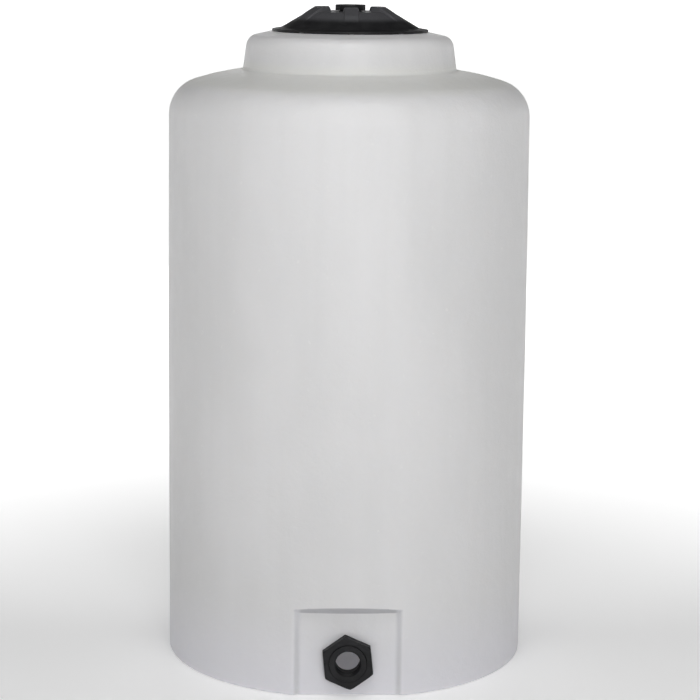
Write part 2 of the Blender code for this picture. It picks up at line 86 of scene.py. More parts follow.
GAP = 0.0003  # left between two pieces that touch
WALL = 0.0055
ROUND_SEGMENTS = 120
SHARP_ANGLE = math.radians(38)

# Tank shell: corners of its outer line, from the frame's height and radius
TANK_RADIUS = radius("tank_shell")
FOOT_ROUNDING = 0.005
INNER_FOOT_ROUNDING = 0.012
WALL_TURN_Z = 0.52
WALL_TURN_ROUNDING = 20.0
WALL_TOP_RADIUS = 0.2898
SHOULDER_Z = 0.9265
SHOULDER_ROUNDING = 0.058
DOME_BEND = (0.2066, 0.9506)
DOME_ROUNDING = 0.40
NECK_FOOT = (0.1715, 0.955)
NECK_FOOT_ROUNDING = 0.006
NECK_TOP = (0.1645, 1.0072)
NECK_TOP_ROUNDING = 0.020
NECK_CROWN = (0.128, top("tank_shell"))
SEAT_RADIUS = 0.1185
SEAT_Z = bottom("ring_gasket") - GAP
FILL_RADIUS = 0.1056
SEAT_ROUNDING = 0.0012
LONGEST_ROW = 0.016  # height of a row of faces on the plain wall
BOTTOM_ROW = 0.040
WALL_WAVE = 0.0004  # how deep the moulded wall's unevenness goes
WAVE_LENGTH = 0.16
CALM_RADIUS = 0.20  # round the outlet, where the wall has no waves
CALM_FADE = 0.25

# Recess for the outlet
PANEL_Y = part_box("bulkhead_nut")[1].y + GAP
RECESS_HALF_WIDTH = 0.0765
RECESS_TOP_Z = 0.1329  # at the panel's middle, where its top edge is lowest
RECESS_TOP_RISE = 0.0016  # how much higher it is at the panel's corners
RECESS_CORNER = 0.003
RECESS_SIDE_DRAFT = 1.5  # how far a side leans out, per unit of depth
RECESS_TOP_DRAFT = 0.68
RECESS_SIDE_BLEND = 0.0016  # how softly the sides run into the panel
RECESS_TOP_BLEND = 0.0030  # how softly the top does
RECESS_OUTER_BLEND = 0.0030  # how softly both run into the round wall
FINE_BAND = 0.014  # how far finer rows and columns reach to both sides of the recess's edge
FINE_STEP = 0.0010

# Bulkhead fitting. Distances along it are measured out of the tank, from the panel
OUTLET = Vector((0, PANEL_Y, centre("bulkhead_nut").z))
SHANK_RADIUS = 0.0292
SHANK_END = PANEL_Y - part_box("bulkhead_body")[0].y
FITTING_REAR = PANEL_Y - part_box("bulkhead_body")[1].y
FLANGE_RADIUS = radius("bulkhead_body")
FLANGE_THICKNESS = 0.008
BORE_RADIUS = 0.0193
BORE_MOUTH_RADIUS = 0.0208
BORE_CHAMFER = 0.0022
WALL_HOLE_RADIUS = 0.0300
NUT_BORE_RADIUS = 0.0297
NUT_CORNER_RADIUS = 0.0434
NUT_THICKNESS = 0.0145
NUT_CHAMFER = 0.0030
NUT_CHAMFER_ROWS = 12
NUT_CORNER_ROUNDING = 0.0012
NUT_FLAT_STEP = 0.0025  # between points along one of the six flats
NUT_EDGE = 0.0005  # rounding of the outer edges
NUT_EDGE_ROWS = 4
NUT_BORE_EDGE = 0.0003  # chamfer of the thread's mouths
NUT_TURN = math.radians(6)
PIPE_PITCH = 0.0022
PIPE_THREAD_DEPTH = 0.0009
BORE_THREAD_LENGTH = 0.0154

# Collar, gaskets and screws
COLLAR_BORE = 0.101
COLLAR_OUTER = 0.104
COLLAR_FLANGE_THICKNESS = 0.004
SCREW_RADIUS = 0.0020
SCREW_HEAD_RADIUS = 0.0036
SCREW_HEAD_HEIGHT = 0.0024
SCREW_LENGTH = 0.0105
SCREW_TIP = 0.0022
SCREW_PITCH = 0.0011
SCREW_THREAD_DEPTH = SCREW_RADIUS * 0.25
SLOT_REACH = SCREW_HEAD_RADIUS * 0.55
SLOT_WIDTH = SCREW_HEAD_RADIUS * 0.24
SLOT_FLOOR = SCREW_HEAD_HEIGHT * 0.35
SCREW_TURN = 0.7  # how much further each screw happens to be turned than the one before
SCREW_HOLE_RADIUS = 0.0024
SCREW_COUNT = 8
SCREW_CIRCLE = 0.1105

# Screw lid. Heights are above the underside of its rim
RIM_Z = next(joint["pos_m"][2] for joint in frame["joints"] if joint["name"] == "lid_turn")
RIM_RADIUS = radius("lid")
LIP_INNER = 0.119
LIP_HEIGHT = 0.0028
BRIM = (0.1105, 0.0052)
CROWN = (0.0671, 0.0307)
LID_WALL = 0.003
LID_HIGHLIGHT_HEIGHT = 0.015  # above the rim, where the lid is painted paler, as a highlight on the lug tops and crown that face the light
SEAL_OUTER = 0.105
SEAL_Z = 0.0027
SEAL_PLAY = 0.0005  # between the seal and the plug that it sits round
SEAL_FLAT = 0.0002  # height of the flat between the seal's two rounded edges
PLUG_RADIUS = 0.0968
PLUG_INNER = 0.0938
PLUG_DEPTH = 0.0204

# Lugs on the lid
LUG_COUNT = 6
SECTOR = 2 * math.pi / LUG_COUNT
LUG_FIRST = math.radians(-90)
LUG_OUTER = (0.0910, 0.0164)
LUG_SHOULDER = (0.0800, 0.0265)
LUG_TOP_OUTER = 0.0605
LUG_TOP_INNER = 0.0450
LUG_TOP_Z = 0.0379
LUG_HALF_WIDTH = 0.0110
LUG_DRAFT = 0.25  # how far a side leans in, per unit of height
LUG_ROUNDING = 0.0024
LUG_FILLET = 0.0020
LUG_LEAST = 0.0025  # a lower part of a lug keeps the outline of one this high
LUG_NEAR = 0.040
LUG_FAR = 0.096
VALLEY_STEPS = 9  # columns between two lugs' sides, on one side of the middle

# Screw thread between lid and collar
THREAD_LEAD = 0.009
PLUG_TURNS = 1.5
COLLAR_TURNS = 2
THREAD_BASE = 0.004
THREAD_CREST = 0.002
THREAD_SINK = 0.0008
THREAD_FADE = 0.12  # how much of a turn each end of a ridge takes to rise to its full height
THREAD_FIRST_SHARE = 0.1  # of the full height, at the very end of a ridge
THREAD_SOFTNESS = 0.15  # height of a crest's bevels, as a share of the ridge's
THREAD_SHAPE = (0.93, 1.1, 0.7)  # half widths at foot, bevel and crest, as shares of the two above
PLUG_CREST = 0.0996
COLLAR_CREST = 0.0984
PLUG_THREAD_START_Z = -0.0170

# Vent
BOSS_RADIUS = 0.017
BOSS_TOP_Z = 0.0365
VENT_BORE = 0.012
TUBE_RADIUS = 0.015
TUBE_BOTTOM_Z = 0.018
SHELF_BORE = 0.008
SHELF_BOTTOM_Z = 0.026
SHELF_TOP_Z = 0.0285
CAP_RADIUS = radius("vent_cap")
CAP_TOP_Z = top("vent_cap") - RIM_Z
CAP_SKIRT_Z = bottom("vent_cap") - RIM_Z
CAP_WALL = 0.0025
CAP_ROUNDING = 0.0012
RIB_COUNT = 4
RIB_THICKNESS = 0.0020
SCREEN_HOLE = 0.0007
SCREEN_SPACING = 0.0022
SCREEN_EDGE = 0.0018  # solid band round the screen
STEM_RADIUS = 0.002
GUIDE_BORE = 0.0027
GUIDE_RADIUS = 0.0048
RETAINER_INNER = 0.0092
RETAINER_ARMS = 3
RETAINER_ARM_WIDTH = 0.0024
RETAINER_ARM_INSET = 0.2  # how much lower and higher the rings reach, as a share of their height
RETAINER_ROUNDING = 0.0004

# Camera and stage
VIEW_DISTANCE = 3.60
VIEW_HEIGHT = 1.1638
VIEW_TURN = math.radians(1.3)
VIEW_PITCH = math.radians(10.451)
VIEW_ROLL = math.radians(0.592)
LENS_MM = 114.68
SHIFT = (0.0044, -0.0024)
FLOOR_RADIUS = 30
FLOOR_GAP = 0.0005
BACKDROP_ROUNDING = 3.0
BACKDROP_HEIGHT = 5.5
GLOW_REACH = (0.3, 2.0)  # distances from the tank's middle where the floor's glow grows
GLOW_STRENGTH = (0.38, 0.95)
GLOW_BEHIND = (0.0, 0.8)  # how far behind, as a share of the distance
GLOW_SHARE = (0.55, 1)
WORLD_STRENGTH = 0.06
INNER_WATTS = 0.6  # see make_glow
INNER_SIZE = 0.1
SOFTBOXES = (  # name, place, target, width and height, watts
    ("rear_softbox", (0, 4.2, 1.2), (0, 0, 0.6), (1.2, 1.8), 18),
    ("front_softbox", (0.2, -4.2, 1.9), (0, 0, 0.6), (1.6, 2.0), 50),
    ("top_softbox", (0, -1.6, 3.2), (0, 0, 0.7), (1.8, 1.2), 35),
)


# Lines and loops


def arc(middle, size, start, turn, steps):
    """Points on a circle, from an angle on through a turn."""
    angles = [start + turn * i / steps for i in range(steps + 1)]
    return [(middle[0] + size * math.cos(a), middle[1] + size * math.sin(a)) for a in angles]


def rounded(corners, steps=4):
    """A line through corners (x, y, rounding), with each rounded corner as an arc."""
    points = []
    for i, (x, y, rounding) in enumerate(corners):
        if rounding == 0:
            points.append((x, y))
            continue
        here = Vector((x, y))
        before = (Vector(corners[i - 1][:2]) - here).normalized()
        after = (Vector(corners[(i + 1) % len(corners)][:2]) - here).normalized()
        half = before.angle(after) / 2
        middle = here + (before + after).normalized() * (rounding / math.sin(half))
        first = here + before * (rounding / math.tan(half)) - middle
        last = here + after * (rounding / math.tan(half)) - middle
        start = math.atan2(first.y, first.x)
        turn = math.remainder(math.atan2(last.y, last.x) - start, 2 * math.pi)
        points += arc(middle, rounding, start, turn, steps)
    return points


def moved_in(corners, distance):
    """The same corners with every side moved to its left, along the line, by a distance."""
    result = []
    for i, (r, z, rounding) in enumerate(corners):
        here = Vector((r, z))
        before = here - Vector(corners[max(i - 1, 0)][:2])
        after = Vector(corners[min(i + 1, len(corners) - 1)][:2]) - here
        before = before.normalized() if before.length else after.normalized()
        after = after.normalized() if after.length else before
        left = Vector((-before.y - after.y, before.x + after.x)).normalized()
        shift = distance / left.dot(Vector((-after.y, after.x)))
        bends_left = before.x * after.y - before.y * after.x > 0
        new_rounding = rounding - distance if bends_left else rounding + distance
        new_rounding = max(new_rounding, 0) if rounding else 0
        result.append((r + left.x * shift, z + left.y * shift, new_rounding))
    return result


def divided(line, longest):
    """The line with points added, so that no stretch is longer than longest gives for its middle."""
    result = [line[0]]
    for start, end in zip(line, line[1:]):
        a = Vector(start)
        b = Vector(end)
        count = max(1, math.ceil((b - a).length / longest((a + b) / 2)))
        result += [tuple(a.lerp(b, (i + 1) / count)) for i in range(count)]
    return result


def height_at(line, r):
    """Height of a line of (r, z) points at one radius. The points run outwards."""
    for (r0, z0), (r1, z1) in zip(line, line[1:]):
        if r0 <= r <= r1 and r1 > r0:
            return z0 + (z1 - z0) * (r - r0) / (r1 - r0)
    return -1.0


def with_stops(line, stops):
    """An outward line with a point added at each radius in stops."""
    result = [line[0]]
    for start, end in zip(line, line[1:]):
        inside = sorted(r for r in stops if start[0] + 1e-5 < r < end[0] - 1e-5)
        result += [(r, height_at([start, end], r)) for r in inside]
        result.append(end)
    return result


def even_angles(count=ROUND_SEGMENTS):
    return [2 * math.pi * i / count for i in range(count)]


def ring(r, z, angles):
    return [Vector((r * math.cos(a), r * math.sin(a), z)) for a in angles]


# Shapes


def skinned(loops, closed=False):
    """A surface through loops with equally many points. Unless closed, both end loops get a cap."""
    bm = bmesh.new()
    rows = [[bm.verts.new(point) for point in loop] for loop in loops]
    pairs = list(zip(rows, rows[1:]))
    if closed:
        pairs.append((rows[-1], rows[0]))
    for one, two in pairs:
        for i in range(len(one)):
            j = (i + 1) % len(one)
            bm.faces.new((one[i], one[j], two[j], two[i]))
    for row in [] if closed else (rows[0], rows[-1]):
        tip = bm.verts.new(sum((v.co for v in row), Vector()) / len(row))
        for i, corner in enumerate(row):
            bm.faces.new((corner, row[(i + 1) % len(row)], tip))
    bmesh.ops.recalc_face_normals(bm, faces=bm.faces)
    return bm


def turned(outline, closed=False, count=ROUND_SEGMENTS):
    """A solid turned round Z. A closed outline makes a ring, an open one is capped at both ends."""
    return skinned([ring(r, z, even_angles(count)) for r, z in outline if r > 0], closed)


def ring_section(inner, outer, low, high, soft):
    """Corners of a rectangle between two radii and two heights, each rounded by soft."""
    return [(inner, low, soft), (outer, low, soft), (outer, high, soft), (inner, high, soft)]


def bar(left, right, half):
    """A straight strip's footprint along X, from left to right, half to each side of the middle."""
    return [(left, -half), (right, -half), (right, half), (left, half)]


def prism(outline, low, high):
    return skinned([[Vector((x, y, z)) for x, y in outline] for z in (low, high)])


def circle(size, count):
    return [(size * math.cos(a), size * math.sin(a)) for a in even_angles(count)]


def mesh_of(bm, name="shape"):
    mesh = bpy.data.meshes.new(name)
    bm.to_mesh(mesh)
    bm.free()
    return mesh


def add(bm, other, matrix=Matrix()):
    """Puts a shape into another one, beside what is there."""
    other.transform(matrix)
    mesh = mesh_of(other)
    bm.from_mesh(mesh)
    bpy.data.meshes.remove(mesh)
    return bm


def around(make, count, distance=0.0, first=0.0):
    """Copies of a shape, evenly spaced round Z."""
    bm = bmesh.new()
    for i in range(count):
        turn = Matrix.Rotation(first + 2 * math.pi * i / count, 4, "Z")
        add(bm, make(), turn @ Matrix.Translation((distance, 0, 0)))
    return bm


def combined(bm, other, operation):
    """The Boolean of two shapes, as a new shape."""
    objects = []
    for shape in (bm, other):
        obj = bpy.data.objects.new("operand", mesh_of(shape))
        bpy.context.collection.objects.link(obj)
        objects.append(obj)
    modifier = objects[0].modifiers.new("cut", "BOOLEAN")
    modifier.operation = operation
    modifier.solver = "EXACT"
    modifier.object = objects[1]
    evaluated = objects[0].evaluated_get(bpy.context.evaluated_depsgraph_get())
    result = bmesh.new()
    result.from_mesh(evaluated.to_mesh())
    evaluated.to_mesh_clear()
    for obj in objects:
        mesh = obj.data
        bpy.data.objects.remove(obj, do_unlink=True)
        bpy.data.meshes.remove(mesh)
    return result


def helical_ridge(root, crest, start_z, turns):
    """A thread ridge whose foot is sunk in the wall at the root radius. It climbs anticlockwise."""
    outward = 1 if crest > root else -1
    sunk = root - outward * THREAD_SINK
    foot = THREAD_BASE / 2 * THREAD_SHAPE[0]
    bevel = THREAD_CREST / 2 * THREAD_SHAPE[1]
    flat = THREAD_CREST / 2 * THREAD_SHAPE[2]
    count = round(turns * ROUND_SEGMENTS)
    loops = []
    for step in range(count + 1):
        angle = 2 * math.pi * step / ROUND_SEGMENTS
        rise = start_z + THREAD_LEAD * step / ROUND_SEGMENTS
        grown = smooth_share(min(step, count - step) / ROUND_SEGMENTS / THREAD_FADE)
        peak = root + (crest - root) * (THREAD_FIRST_SHARE + (1 - THREAD_FIRST_SHARE) * grown)
        soft = (crest - root) * THREAD_SOFTNESS * grown
        upper = [(peak, flat), (peak - soft, bevel), (root, foot), (sunk, THREAD_BASE / 2)]
        section = [(r, -z) for r, z in reversed(upper)] + upper
        loops.append([Vector((r * math.cos(angle), r * math.sin(angle), rise + z)) for r, z in section])
    return skinned(loops)


def smooth_share(share):
    """From 0 to 1, level at both ends."""
    share = min(max(share, 0), 1)
    return share * share * (3 - 2 * share)


def threaded(loops, low, high, depth, pitch):
    """Loops round Z with a round-crested helical groove cut into them between two heights."""
    result = []
    for loop in loops:
        z = loop[0].z
        inside = smooth_share((z - low) / pitch) * smooth_share((high - z) / pitch)
        new_loop = []
        for point in loop:
            turn = math.atan2(point.y, point.x) / (2 * math.pi)
            groove = depth * inside * (0.5 - 0.5 * math.cos(2 * math.pi * (z / pitch - turn)))
            size = math.hypot(point.x, point.y)
            share = (size + groove) / size
            new_loop.append(Vector((point.x * share, point.y * share, z)))
        result.append(new_loop)
    return result


# Materials


def new_finish(name, **sockets):
    """A material whose Principled node has these socket values, with underscores for spaces."""
    made = bpy.data.materials.new(name)
    made.use_nodes = True
    shader = made.node_tree.nodes["Principled BSDF"]
    for socket, value in sockets.items():
        shader.inputs[socket.replace("_", " ")].default_value = value
    return made, made.node_tree, shader


def grain(tree, scale, detail=3.0, stretch=(1, 1, 1)):
    """Noise from 0 to 1 in the object's own coordinates, with this many waves to a metre."""
    where = tree.nodes.new("ShaderNodeTexCoord")
    mapping = tree.nodes.new("ShaderNodeMapping")
    mapping.inputs["Scale"].default_value = stretch
    made = tree.nodes.new("ShaderNodeTexNoise")
    made.inputs["Scale"].default_value = scale
    made.inputs["Detail"].default_value = detail
    tree.links.new(where.outputs["Object"], mapping.inputs["Vector"])
    tree.links.new(mapping.outputs["Vector"], made.inputs["Vector"])
    return made.outputs["Fac"]


def coordinate(tree, axis, kind="Object"):
    """The point's X, Y or Z in metres or, with kind Normal, how far its surface faces that way."""
    where = tree.nodes.new("ShaderNodeTexCoord")
    split = tree.nodes.new("ShaderNodeSeparateXYZ")
    tree.links.new(where.outputs[kind], split.inputs["Vector"])
    return split.outputs[axis]


def spread(tree, value, old, new=(0, 1)):
    """A value moved from one range to another, smoothly, and kept inside it."""
    made = tree.nodes.new("ShaderNodeMapRange")
    made.interpolation_type = "SMOOTHSTEP"
    for socket, number in zip(("From Min", "From Max", "To Min", "To Max"), (*old, *new)):
        made.inputs[socket].default_value = number
    tree.links.new(value, made.inputs["Value"])
    return made.outputs["Result"]


def between(tree, value, rise, fall):
    """1 past a rise from one number to another and before a fall, and 0 outside both."""
    return product(tree, spread(tree, value, rise), spread(tree, value, (fall[1], fall[0])))


def product(tree, one, two):
    made = tree.nodes.new("ShaderNodeMath")
    made.operation = "MULTIPLY"
    tree.links.new(one, made.inputs[0])
    tree.links.new(two, made.inputs[1])
    return made.outputs["Value"]


def mixed(tree, share, one, two):
    """A colour between two, each a colour or a socket."""
    made = tree.nodes.new("ShaderNodeMix")
    made.data_type = "RGBA"
    tree.links.new(share, made.inputs["Factor"])
    for socket, colour in ((made.inputs[6], one), (made.inputs[7], two)):
        if isinstance(colour, bpy.types.NodeSocket):
            tree.links.new(colour, socket)
        else:
            socket.default_value = (*colour, 1)
    return made.outputs[2]


def roughen(tree, shader, bumps):
    """Bumps on top of each other, each (height socket, distance in metres)."""
    normal = None
    for value, distance in bumps:
        made = tree.nodes.new("ShaderNodeBump")
        made.inputs["Distance"].default_value = distance
        tree.links.new(value, made.inputs["Height"])
        if normal:
            tree.links.new(normal, made.inputs["Normal"])
        normal = made.outputs["Normal"]
    tree.links.new(normal, shader.inputs["Normal"])


def under_the_recess_edge(tree):
    """Where the recess's top faces down, and so gets hardly any light."""
    height = between(
        tree,
        coordinate(tree, "Z"),
        (RECESS_TOP_Z - 0.006, RECESS_TOP_Z - 0.003),
        (RECESS_TOP_Z + 0.016, RECESS_TOP_Z + 0.019),
    )
    return product(tree, height, spread(tree, coordinate(tree, "Z", "Normal"), (-0.12, -0.50)))


def painted_shade_beside_the_panel(tree):
    """Painted shade at the foot of the recess's two sides, in front, where the inner corners get less
    light.
    """
    sideways = tree.nodes.new("ShaderNodeMath")
    sideways.operation = "ABSOLUTE"
    tree.links.new(coordinate(tree, "X"), sideways.inputs[0])
    foot = between(
        tree,
        sideways.outputs["Value"],
        (RECESS_HALF_WIDTH - 0.0050, RECESS_HALF_WIDTH + 0.0020),
        (RECESS_HALF_WIDTH + 0.0045, RECESS_HALF_WIDTH + 0.0100),
    )
    below = spread(tree, coordinate(tree, "Z"), (RECESS_TOP_Z + 0.010, RECESS_TOP_Z + 0.005))
    in_front = spread(tree, coordinate(tree, "Y"), (-0.20, -0.24))
    return product(tree, product(tree, foot, below), in_front)


def polyethylene():
    """Natural rotationally moulded polyethylene: milky, with faint clouds, streaks and orange peel."""
    made, tree, shader = new_finish(
        "natural_polyethylene", IOR=1.51, Subsurface_Weight=0.6, Subsurface_Scale=0.008
    )
    shader.inputs["Subsurface Radius"].default_value = (1.0, 0.95, 0.9)
    clouds = spread(tree, grain(tree, 5, stretch=(1, 1, 0.45)), (0.35, 0.65))
    streaks = spread(tree, grain(tree, 26, 2, (1, 1, 0.05)), (0.42, 0.75), (0, 0.22))
    flecks = spread(tree, grain(tree, 120, 2), (0.66, 0.80), (0, 0.35))
    colour = mixed(tree, clouds, (0.680, 0.678, 0.682), (0.720, 0.717, 0.722))
    colour = mixed(tree, streaks, colour, (0.64, 0.64, 0.64))
    colour = mixed(tree, flecks, colour, (0.79, 0.79, 0.78))
    low = spread(tree, coordinate(tree, "Z"), (0.16, 0))
    colour = mixed(tree, low, colour, (0.72, 0.715, 0.75))
    colour = mixed(tree, under_the_recess_edge(tree), colour, (0.46, 0.46, 0.48))
    # painted shade: darker along the foot of the recess's two sides, where the inner corners get less
    # light
    colour = mixed(tree, painted_shade_beside_the_panel(tree), colour, (0.63, 0.63, 0.65))
    near_neck = between(
        tree,
        coordinate(tree, "Z"),
        (NECK_FOOT[1] - 0.030, NECK_FOOT[1] - 0.015),
        (NECK_FOOT[1] + 0.003, NECK_FOOT[1] + 0.020),
    )
    colour = mixed(tree, near_neck, colour, (0.725, 0.725, 0.705))
    tree.links.new(colour, shader.inputs["Base Color"])
    tree.links.new(spread(tree, grain(tree, 40), (0.3, 0.7), (0.42, 0.56)), shader.inputs["Roughness"])
    roughen(tree, shader, ((grain(tree, 60, 2), 0.0010), (grain(tree, 420, 2), 0.00025)))
    return made


def moulded_black(name, dark, light, roughness, peel, highlight_above=None):
    """Black moulded plastic with a fine grain, flow marks and, above a height, a painted highlight:
    paler where the top faces the light.
    """
    made, tree, shader = new_finish(name, IOR=1.49, Specular_IOR_Level=0.35)
    flow = spread(tree, grain(tree, 30, 4, (1, 1, 2.5)), (0.38, 0.68))
    scuffs = spread(tree, grain(tree, 260, 3), (0.63, 0.76), (0, 0.5))
    colour = mixed(tree, flow, dark, light)
    colour = mixed(tree, scuffs, colour, tuple(2.2 * part for part in light))
    if highlight_above is not None:
        # painted highlight: paler above the height, where the lug tops and crown face the light
        lit_share = spread(tree, coordinate(tree, "Z"), (highlight_above, highlight_above + 0.008))
        colour = mixed(tree, lit_share, colour, tuple(4.6 * part for part in light))
    tree.links.new(colour, shader.inputs["Base Color"])
    tree.links.new(spread(tree, grain(tree, 70), (0.3, 0.7), roughness), shader.inputs["Roughness"])
    roughen(tree, shader, ((grain(tree, 180, 2), 0.00016), (grain(tree, 1500, 2), peel)))
    return made


def rubber():
    made, tree, shader = new_finish("black_rubber", IOR=1.52)
    dust = spread(tree, grain(tree, 90, 3), (0.45, 0.75))
    colour = mixed(tree, dust, (0.020, 0.020, 0.021), (0.050, 0.049, 0.047))
    tree.links.new(colour, shader.inputs["Base Color"])
    tree.links.new(spread(tree, grain(tree, 200), (0.3, 0.7), (0.68, 0.85)), shader.inputs["Roughness"])
    roughen(tree, shader, ((grain(tree, 700, 2), 0.00006),))
    return made


def steel():
    """Stainless steel with fine turned or rolled marks."""
    made, tree, shader = new_finish("stainless_steel", Metallic=1.0)
    marks = spread(tree, grain(tree, 900, 3, (1, 1, 6)), (0.35, 0.65))
    colour = mixed(tree, marks, (0.50, 0.50, 0.51), (0.66, 0.66, 0.67))
    tree.links.new(colour, shader.inputs["Base Color"])
    tree.links.new(spread(tree, grain(tree, 600), (0.3, 0.7), (0.24, 0.42)), shader.inputs["Roughness"])
    roughen(tree, shader, ((grain(tree, 1800, 2), 0.00001),))
    return made


def floor_finish():
    """A pale floor with a glow that grows outwards, and more so behind the tank than in front."""
    made, tree, shader = new_finish("pale_floor", Roughness=0.9)
    clouds = spread(tree, grain(tree, 1.5), (0.3, 0.7))
    colour = mixed(tree, clouds, (0.90, 0.90, 0.90), (0.92, 0.92, 0.92))
    tree.links.new(colour, shader.inputs["Base Color"])
    shader.inputs["Emission Color"].default_value = (1, 1, 1, 1)
    where = tree.nodes.new("ShaderNodeTexCoord")
    length = tree.nodes.new("ShaderNodeVectorMath")
    length.operation = "LENGTH"
    direction = tree.nodes.new("ShaderNodeVectorMath")
    direction.operation = "NORMALIZE"
    split = tree.nodes.new("ShaderNodeSeparateXYZ")
    tree.links.new(where.outputs["Object"], length.inputs[0])
    tree.links.new(where.outputs["Object"], direction.inputs[0])
    tree.links.new(direction.outputs["Vector"], split.inputs["Vector"])
    outward = spread(tree, length.outputs["Value"], GLOW_REACH, GLOW_STRENGTH)
    behind = spread(tree, split.outputs["Y"], GLOW_BEHIND, GLOW_SHARE)
    tree.links.new(product(tree, outward, behind), shader.inputs["Emission Strength"])
    return made


# Pieces


def piece(name, bm, finish, body, node, matrix=Matrix()):
    """A piece of the object that stands for a CAD node, smooth except at sharp edges."""
    bm.transform(matrix)
    mesh = mesh_of(bm, name)
    mesh.shade_smooth()
    mesh.set_sharp_from_angle(angle=SHARP_ANGLE)
    mesh.materials.append(finish)
    obj = bpy.data.objects.new(name, mesh)
    bpy.context.collection.objects.link(obj)
    flat = obj.modifiers.new("flat_faces_stay_flat", "WEIGHTED_NORMAL")
    flat.keep_sharp = True
    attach(obj, body)
    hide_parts(node)
    return obj


ON_LID = Matrix.Translation((0, 0, RIM_Z))
AT_OUTLET = Matrix.Translation(OUTLET) @ Matrix.Rotation(math.pi / 2, 4, "X")


# Tank shell


def tank_corners():
    return [
        (0, 0, 0),
        (TANK_RADIUS, 0, FOOT_ROUNDING),
        (TANK_RADIUS, WALL_TURN_Z, WALL_TURN_ROUNDING),
        (WALL_TOP_RADIUS, SHOULDER_Z, SHOULDER_ROUNDING),
        (*DOME_BEND, DOME_ROUNDING),
        (*NECK_FOOT, NECK_FOOT_ROUNDING),
        (*NECK_TOP, NECK_TOP_ROUNDING),
        (*NECK_CROWN, 0),
    ]


def row_height(middle):
    """The longest row of faces on the tank, finer beside the recess's top edge and at the foot."""
    if middle.x < TANK_RADIUS - 2 * WALL and middle.y < WALL_TURN_Z:
        return BOTTOM_ROW
    near_edge = RECESS_TOP_Z - FINE_BAND < middle.y < RECESS_TOP_Z + FINE_BAND
    return FINE_STEP if near_edge else LONGEST_ROW


def wall_stops(line):
    """The line with points where the fine rows beside the recess's top edge begin and end."""
    result = [line[0]]
    for start, end in zip(line, line[1:]):
        stops = [RECESS_TOP_Z - FINE_BAND, RECESS_TOP_Z + FINE_BAND]
        if start[1] > end[1]:
            stops.reverse()
        for z in stops:
            if min(start[1], end[1]) < z < max(start[1], end[1]):
                share = (z - start[1]) / (end[1] - start[1])
                result.append((start[0] + (end[0] - start[0]) * share, z))
        result.append(end)
    return result


def tank_angles():
    """Columns round the tank, with finer ones along the recess's sides. Angle 0 is at the outlet."""
    low = RECESS_HALF_WIDTH - FINE_BAND
    high = RECESS_HALF_WIDTH + FINE_BAND
    line = divided([(0, 0), (low, 0)], lambda middle: 0.010)
    line += divided([(low, 0), (high, 0)], lambda middle: FINE_STEP)[1:]
    front = [math.asin(x / TANK_RADIUS) for x, _ in line]
    count = round((math.pi - front[-1]) * ROUND_SEGMENTS / (2 * math.pi))
    rest = [front[-1] + (math.pi - front[-1]) * i / count for i in range(1, count + 1)]
    half = front + rest
    return half + [2 * math.pi - angle for angle in reversed(half[1:-1])]


def soft_min(a, b, blend):
    """The lower of two heights, rounded off where they are within blend of each other."""
    near = max(blend - abs(a - b), 0) / blend
    return min(a, b) - near * near * blend / 4


def recess_depth(x, z, y, grow, foot):
    """How far in front of the panel the wall's surface lies, once the recess is pressed into it."""
    across = -soft_min(0, (RECESS_HALF_WIDTH + grow - abs(x)) / RECESS_SIDE_DRAFT, RECESS_SIDE_BLEND)
    rise = RECESS_TOP_RISE * min(x / RECESS_HALF_WIDTH, 1) ** 2
    upward = -soft_min(0, (RECESS_TOP_Z + rise + grow - z) / RECESS_TOP_DRAFT, RECESS_TOP_BLEND)
    side = -soft_min(-across, -upward, RECESS_CORNER)
    plain = PANEL_Y + grow + foot - y
    return soft_min(plain, side, RECESS_OUTER_BLEND)


def pressed(r, z, angle, grow):
    """A point of the tank's wall, with the recess pressed in. Grow is 0 outside, the wall inside."""
    x = r * math.sin(angle)
    y = -r * math.cos(angle)
    foot = max(TANK_RADIUS - grow - r, 0) if z < INNER_FOOT_ROUNDING + WALL else 0
    near = math.cos(angle) > 0 and z < RECESS_TOP_Z + 2 * FINE_BAND
    if near and abs(x) < RECESS_HALF_WIDTH + 3 * FINE_BAND:
        y = PANEL_Y + grow + foot - recess_depth(x, z, y, grow, foot)
    return Vector((x, y, z))


def wavy(point):
    """A point of the outer wall, moved in a little by the moulding's unevenness."""
    out = Vector((point.x, point.y, 0))
    distance = (point - Vector((0, -TANK_RADIUS, 0))).length
    away = smooth_share((distance - CALM_RADIUS) / CALM_FADE)
    share = 0.5 + 0.5 * noise.noise(point / WAVE_LENGTH)
    return point - out.normalized() * (WALL_WAVE * share * away)


def tank_shape():
    """The shell's line runs from the middle of the bottom outside, up, and back down inside."""
    outer = wall_stops(rounded(tank_corners(), 14))
    outer = divided(outer, row_height)
    inner_corners = moved_in(tank_corners(), WALL)
    inner_corners[1] = (*inner_corners[1][:2], INNER_FOOT_ROUNDING)
    underside = SEAT_Z - WALL
    inner_corners[-1] = (SEAT_RADIUS + 2 * WALL, inner_corners[-1][1], 0)
    inner_corners.append((SEAT_RADIUS + WALL, underside, 0))
    inner = divided(wall_stops(rounded(inner_corners, 10)), row_height)
    seat = [
        (SEAT_RADIUS, NECK_CROWN[1], SEAT_ROUNDING),
        (SEAT_RADIUS, SEAT_Z, 0),
        (FILL_RADIUS, SEAT_Z, SEAT_ROUNDING / 2),
        (FILL_RADIUS, underside, SEAT_ROUNDING / 2),
    ]
    seat_line = rounded([(*NECK_CROWN, 0), *seat, (SEAT_RADIUS + WALL, underside, 0)])[1:-1]
    angles = tank_angles()
    loops = wall_loops(outer, angles, 0)
    loops = [[wavy(point) for point in loop] for loop in loops]
    loops += [[pressed(r, z, angle, 0) for angle in angles] for r, z in seat_line]
    loops += reversed(wall_loops(inner, angles, WALL))
    return skinned(loops)


